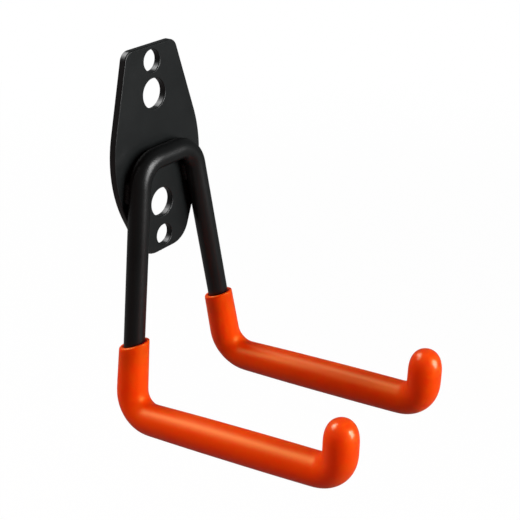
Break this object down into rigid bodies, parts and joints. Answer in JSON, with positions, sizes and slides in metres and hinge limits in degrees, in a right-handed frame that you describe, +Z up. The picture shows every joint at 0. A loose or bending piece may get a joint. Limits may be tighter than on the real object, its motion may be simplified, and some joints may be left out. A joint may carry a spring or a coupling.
{
  "type": "double-arm utility hook",
  "caption": "Wall-mounted steel hook: a hexagonal plate carries a bent rod with two forward arms in soft sleeves, for hanging tools, hoses and ladders.",
  "frame": {"origin": "on the plate's back face, midway between the two screw holes", "axes": "+X to the right for someone facing the wall, +Y into the wall, +Z up"},
  "size_m": [0.0882, 0.1353, 0.1772],
  "materials": {
    "black_plate": "satin",
    "black_rod": "satin",
    "black_weld": "satin",
    "orange_sleeve": "satin"
  },
  "bodies": {
    "root": {"mounting_plate": "black_plate", "hook_rod": "black_rod", "left_sleeve": "orange_sleeve", "right_sleeve": "orange_sleeve", "weld_beads": "black_weld"}
  },
  "joints": []
}
